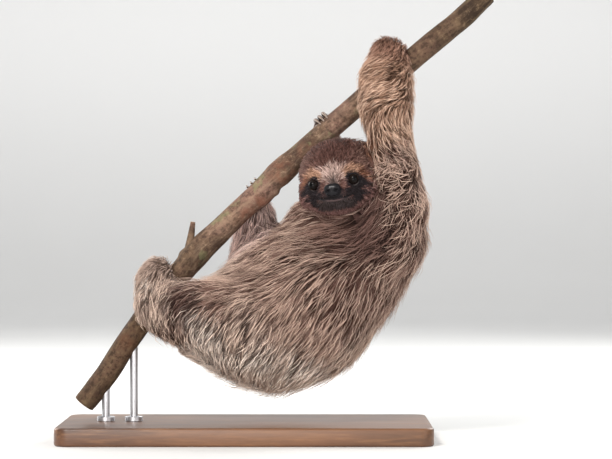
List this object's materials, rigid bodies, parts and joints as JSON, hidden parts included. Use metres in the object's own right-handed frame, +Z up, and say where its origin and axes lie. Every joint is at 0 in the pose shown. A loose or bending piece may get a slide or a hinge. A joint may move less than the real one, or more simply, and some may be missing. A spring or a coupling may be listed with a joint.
{
  "type": "three-toed sloth model",
  "caption": "Life-size still model of a young brown-throated three-toed sloth hanging under a slanting cut branch, held by a plain base with rods.",
  "frame": {"origin": "centre of the underside of the stand's base, on the surface that the model stands on", "axes": "+Z up; +X along the base towards the high end of the branch, where the head is; +Y from the sloth's left side to its right side"},
  "size_m": [0.4321, 0.19, 0.4523],
  "materials": {
    "coat": "long shaggy fur, grey-brown with cream tips",
    "coat_pale": "shorter fur, pale grey-brown",
    "coat_head": "short dense fur, red-brown crown and cream brow",
    "coat_mask": "very short dark fur",
    "nose": "bare, dark and slightly moist",
    "eye": "polished, near black",
    "claw": "horn, pale with darker root",
    "bark": "rough grey-brown bark, cut ends",
    "base_wood": "oiled dark hardwood",
    "steel": "brushed"
  },
  "bodies": {
    "root": {"neck": "coat", "chest": "coat", "belly": "coat", "rump": "coat", "tail": "coat", "upper_arm_left": "coat", "upper_arm_right": "coat", "forearm_left": "coat", "forearm_right": "coat", "thigh_left": "coat", "thigh_right": "coat", "shank_left": "coat", "shank_right": "coat", "hand_left": "coat_pale", "hand_right": "coat_pale", "foot_left": "coat_pale", "foot_right": "coat_pale", "head": "coat_head", "muzzle": "coat_mask", "nose": "nose", "eye_left": "eye", "eye_right": "eye", "claw_hand_left_1": "claw", "claw_hand_left_2": "claw", "claw_hand_left_3": "claw", "claw_hand_right_1": "claw", "claw_hand_right_2": "claw", "claw_hand_right_3": "claw", "claw_foot_left_1": "claw", "claw_foot_left_2": "claw", "claw_foot_left_3": "claw", "claw_foot_right_1": "claw", "claw_foot_right_2": "claw", "claw_foot_right_3": "claw", "branch": "bark", "stand_base": "base_wood", "stand_rod_short": "steel", "stand_rod_long": "steel"}
  },
  "joints": []
}
